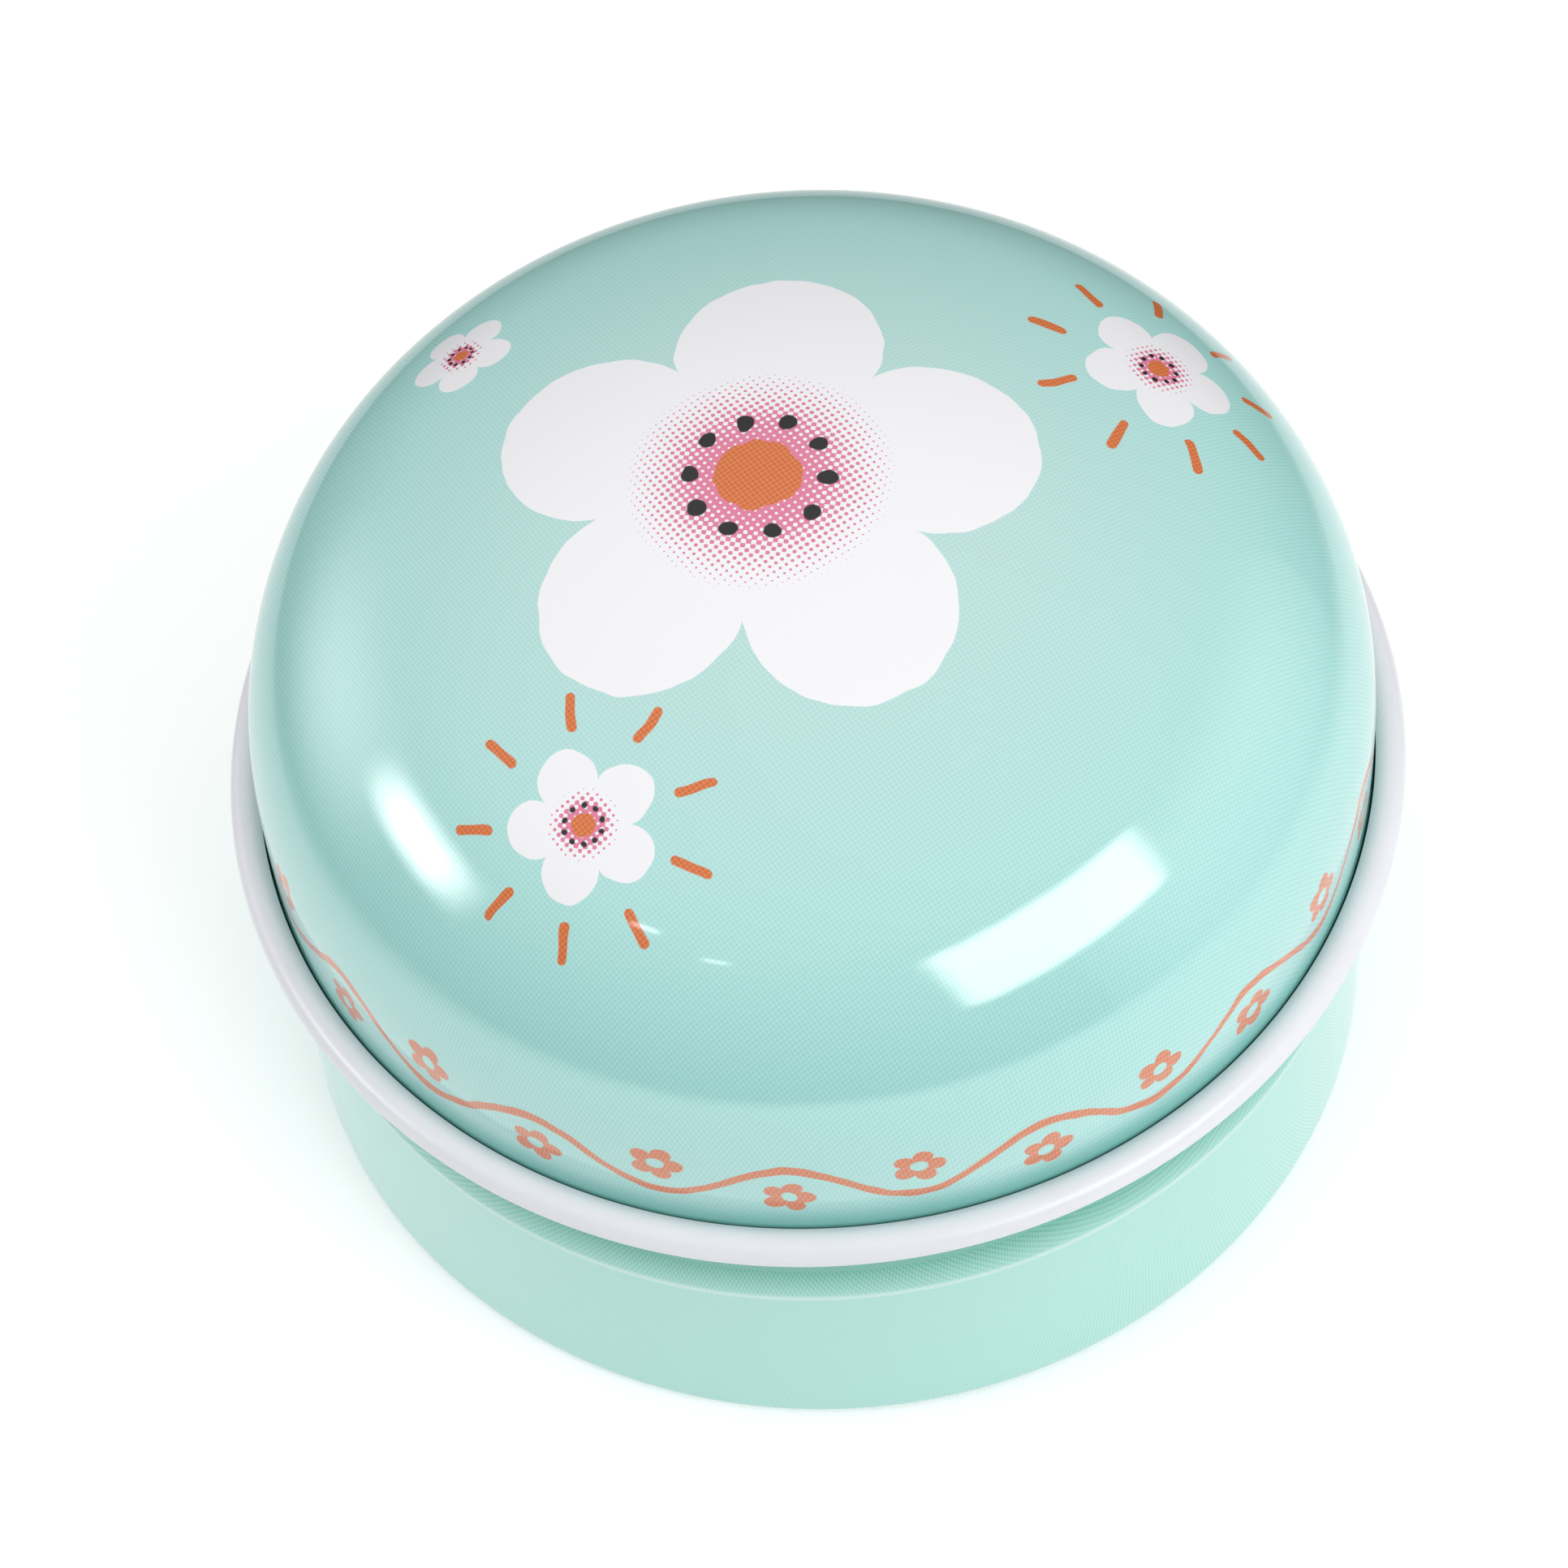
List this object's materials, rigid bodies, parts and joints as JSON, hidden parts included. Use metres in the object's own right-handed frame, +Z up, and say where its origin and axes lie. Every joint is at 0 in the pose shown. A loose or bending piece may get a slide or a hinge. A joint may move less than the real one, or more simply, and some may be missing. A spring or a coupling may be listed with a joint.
{
  "type": "round slip-lid keepsake tin",
  "caption": "Small round tinplate keepsake tin with a necked base and a domed lift-off lid that has a curled rim.",
  "frame": {"origin": "centre of the foot ring, on the surface that the tin stands on", "axes": "+Z up along the tin's axis, the way the lid lifts off; the tin is round, so X and Y are any two directions across"},
  "size_m": [0.056, 0.056, 0.0391],
  "materials": {
    "base_tinplate": "gloss mint print outside, white lacquer inside",
    "lid_tinplate": "gloss mint print outside, white lacquer inside and on the rim curl"
  },
  "bodies": {
    "base": {"base": "base_tinplate"},
    "lid": {"lid": "lid_tinplate"}
  },
  "joints": [
    {"name": "lid_lift", "type": "slide", "parent": "base", "child": "lid", "axis": [0, 0, 1], "range_m": [0, 0.03]}
  ]
}
